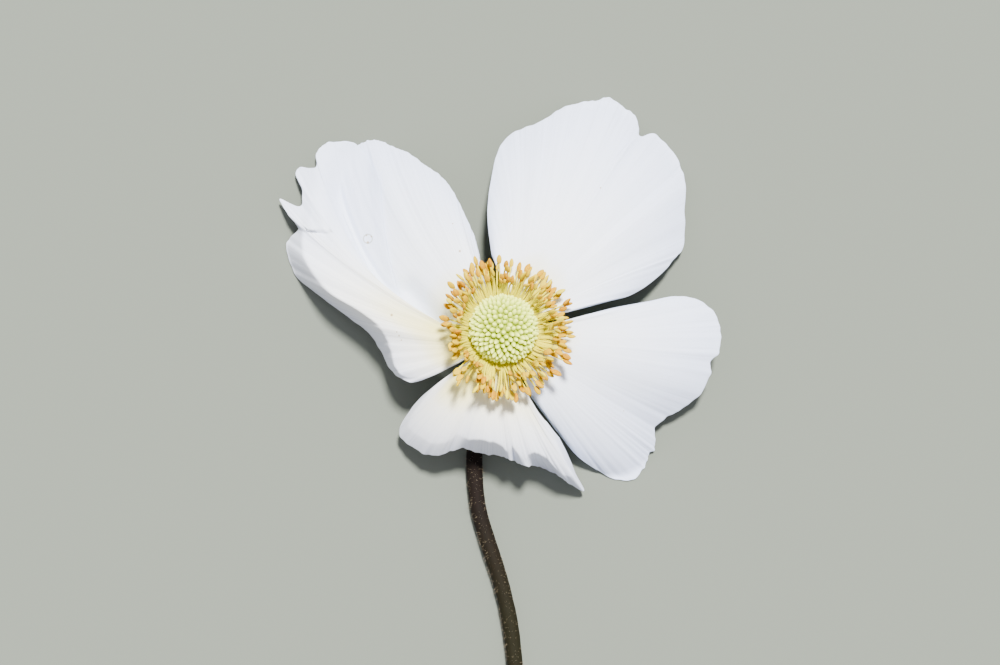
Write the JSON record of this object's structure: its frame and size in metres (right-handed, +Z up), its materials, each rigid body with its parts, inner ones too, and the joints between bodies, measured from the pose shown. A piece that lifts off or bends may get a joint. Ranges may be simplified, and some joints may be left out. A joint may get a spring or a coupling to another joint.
{
  "type": "snowdrop anemone flower",
  "caption": "White five-tepalled anemone flower, face up on its cut stalk, with a ring of yellow stamens round a green dome of pistils.",
  "frame": {"origin": "on the surface that the flower lies on, under the middle of the whole flower", "axes": "+Y from the cut end of the stalk toward the bloom, +Z up, the way the bloom faces"},
  "size_m": [0.061, 0.1173, 0.0182],
  "materials": {
    "tepal": "soft matte living tepal, cool white, faintly veined, cream toward its root",
    "stamen": "matte golden to peach anthers on pale yellow-green filaments",
    "pistil": "soft pale green carpels with paler tips",
    "stalk": "downy green-brown stalk, reddish along its middle"
  },
  "bodies": {
    "root": {"stalk": "stalk", "tepal_upper_right": "tepal", "tepal_right": "tepal", "tepal_lower": "tepal", "tepal_left": "tepal", "tepal_upper_left": "tepal", "stamens": "stamen", "pistil_head": "pistil"}
  },
  "joints": []
}
